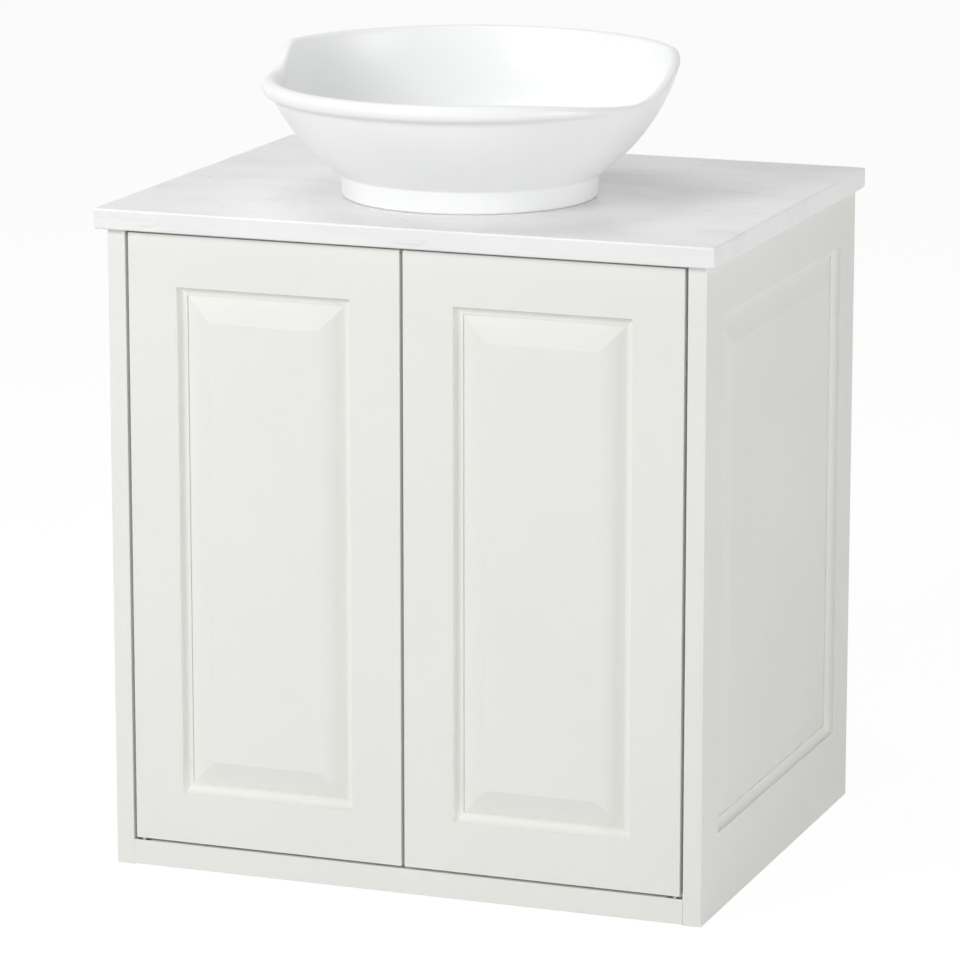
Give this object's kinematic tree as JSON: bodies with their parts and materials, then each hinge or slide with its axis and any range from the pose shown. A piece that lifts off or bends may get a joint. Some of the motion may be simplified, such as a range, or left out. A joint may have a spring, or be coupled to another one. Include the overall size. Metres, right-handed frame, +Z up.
{
  "type": "vanity unit",
  "caption": "Bathroom vanity unit: cabinet of framed raised panels with swinging doors, pale stone top and a round vessel basin whose rim drops to a low front lip.",
  "frame": {"origin": "on the floor, under the middle of the outer box of cabinet, top and basin", "axes": "+Z up, -Y the way the doors face, +X to the right as seen from the front"},
  "size_m": [0.62, 0.4964, 0.7891],
  "materials": {
    "painted_wood": "satin paint, warm off-white",
    "board": "matt foil board, off-white",
    "stone_top": "honed pale grey stone with fine flecks",
    "glazed_white": "glossy white glaze",
    "zinc_steel": "zinc-plated steel",
    "chrome": "polished chrome",
    "white_plastic": "moulded white plastic",
    "grey_nylon": "moulded grey nylon",
    "rubber": "black rubber",
    "sealant": "translucent white sealant"
  },
  "bodies": {
    "cabinet": {"basin": "glazed_white", "basin_seal": "sealant", "bottom_panel": "board", "bracket_screws": "zinc_steel", "countertop": "stone_top", "front_bottom_rail": "painted_wood", "left_latch_case": "grey_nylon", "left_lower_pivot": "zinc_steel", "left_side_bottom_rail": "painted_wood", "left_side_front_stile": "painted_wood", "left_side_panel": "painted_wood", "left_side_rear_stile": "painted_wood", "left_side_top_rail": "painted_wood", "left_upper_pivot": "zinc_steel", "lower_wall_rail": "board", "pivot_screws": "zinc_steel", "right_latch_case": "grey_nylon", "right_lower_pivot": "zinc_steel", "right_side_bottom_rail": "painted_wood", "right_side_front_stile": "painted_wood", "right_side_panel": "painted_wood", "right_side_rear_stile": "painted_wood", "right_side_top_rail": "painted_wood", "right_upper_pivot": "zinc_steel", "shelf": "board", "shelf_pins": "zinc_steel", "top_brackets": "zinc_steel", "top_front_stretcher": "board", "trap_body": "white_plastic", "trap_cup": "white_plastic", "trap_inlet_nut": "white_plastic", "trap_outlet_nut": "white_plastic", "trap_outlet_pipe": "white_plastic", "trap_tail_pipe": "white_plastic", "upper_wall_rail": "board", "waste_nut": "white_plastic", "waste_strainer": "chrome", "waste_washer": "rubber"},
    "left_door": {"left_door_bottom_rail": "painted_wood", "left_door_bushes": "grey_nylon", "left_door_hinge_stile": "painted_wood", "left_door_meeting_stile": "painted_wood", "left_door_panel": "painted_wood", "left_door_top_rail": "painted_wood", "left_strike_plate": "zinc_steel"},
    "right_door": {"right_door_bottom_rail": "painted_wood", "right_door_bushes": "grey_nylon", "right_door_hinge_stile": "painted_wood", "right_door_meeting_stile": "painted_wood", "right_door_panel": "painted_wood", "right_door_top_rail": "painted_wood", "right_strike_plate": "zinc_steel"},
    "left_push": {"left_plunger": "grey_nylon"},
    "right_push": {"right_plunger": "grey_nylon"}
  },
  "joints": [
    {"name": "left_door_swing", "type": "hinge", "parent": "cabinet", "child": "left_door", "pos_m": [-0.273, -0.2258, 0.3275], "axis": [0, 0, -1], "range_deg": [0, 105]},
    {"name": "left_plunger_travel", "type": "slide", "parent": "cabinet", "child": "left_push", "axis": [0, -1, 0], "range_m": [0, 0.014]},
    {"name": "right_door_swing", "type": "hinge", "parent": "cabinet", "child": "right_door", "pos_m": [0.273, -0.2258, 0.3275], "axis": [0, 0, 1], "range_deg": [0, 105]},
    {"name": "right_plunger_travel", "type": "slide", "parent": "cabinet", "child": "right_push", "axis": [0, -1, 0], "range_m": [0, 0.014]}
  ],
  "couplings": [
    {"joint": "left_plunger_travel", "follows": "left_door_swing", "m_per_rad": 0.0076},
    {"joint": "right_plunger_travel", "follows": "right_door_swing", "m_per_rad": 0.0076}
  ]
}
